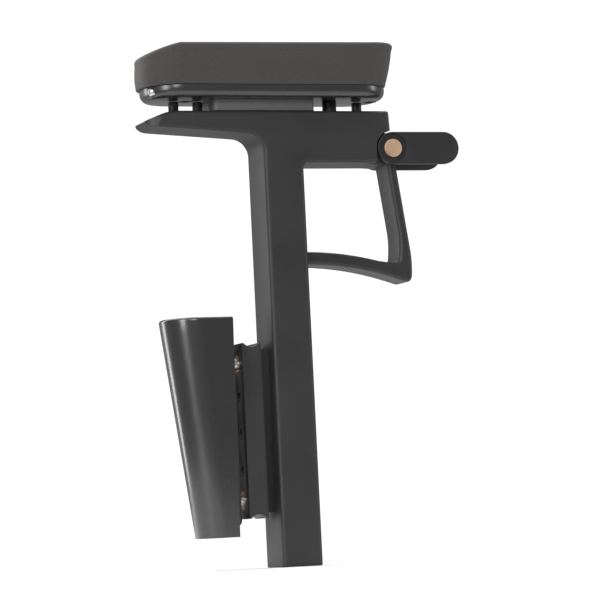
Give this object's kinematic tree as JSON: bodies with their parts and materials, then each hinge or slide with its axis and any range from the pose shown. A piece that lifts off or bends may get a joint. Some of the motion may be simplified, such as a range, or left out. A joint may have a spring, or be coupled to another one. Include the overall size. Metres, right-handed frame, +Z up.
{
  "type": "rifle shoulder stock",
  "caption": "Skeleton shoulder stock furniture with a blank end: a beam and butt head with a hand loop, a sliding rubber butt pad, a sliding cheek rest and a folding foot.",
  "frame": {"origin": "middle of the beam's plain, blank lower end", "axes": "+Z runs up the beam to the butt pad, +X points to the hand loop and the foot, and Y is the width"},
  "size_m": [0.1624, 0.04, 0.256],
  "materials": {
    "black_anodised": "black hard-anodised, satin",
    "satin_plate": "black anodised, slightly glossier",
    "foot_finish": "dark grey anodised, satin",
    "grey_aluminium": "grey, bead blasted",
    "black_polymer": "matt moulded",
    "gloss_shell": "semi-gloss moulded shell",
    "pad_rubber": "matt brownish-black rubber",
    "bronze": "plain turned bronze",
    "pin_bronze": "pale turned bronze",
    "bright_steel": "ground bright",
    "black_steel": "black oxide"
  },
  "bodies": {
    "frame": {"stock_frame": "black_anodised", "beam_end_plug": "black_polymer", "length_bush": "bronze", "guide_bush": "bronze", "length_lock_pad": "bronze", "length_lock_screw": "black_steel", "stop_screws": "black_steel", "cheek_spacer": "black_polymer", "cheek_block": "black_anodised", "block_screws": "black_steel", "cheek_bushes": "bronze", "cheek_lock_screws": "black_steel", "foot_detent_spring": "bright_steel", "foot_detent_ball": "bright_steel", "foot_washers": "bronze"},
    "butt": {"pad_carrier": "grey_aluminium", "length_column": "bright_steel", "column_screw": "black_steel", "guide_rod": "black_steel", "base_plate": "satin_plate", "carrier_screws": "black_steel", "plate_end_pin": "bright_steel", "pad_screws": "black_steel", "butt_pad": "pad_rubber"},
    "cheek": {"cheek_bar": "black_anodised", "cheek_posts": "bright_steel", "cheek_shell": "gloss_shell", "shell_screws": "black_steel"},
    "foot": {"support_foot": "foot_finish", "foot_pivot_pin": "pin_bronze", "foot_pivot_nut": "black_steel"}
  },
  "joints": [
    {"name": "butt_length", "type": "slide", "parent": "frame", "child": "butt", "axis": [0, 0, 1], "range_m": [0, 0.015]},
    {"name": "cheek_height", "type": "slide", "parent": "frame", "child": "cheek", "axis": [-1, 0, 0], "range_m": [0, 0.02]},
    {"name": "foot_fold", "type": "hinge", "parent": "frame", "child": "foot", "pos_m": [0.0574, 0, 0.2034], "axis": [0, 1, 0], "range_deg": [0, 82]}
  ]
}
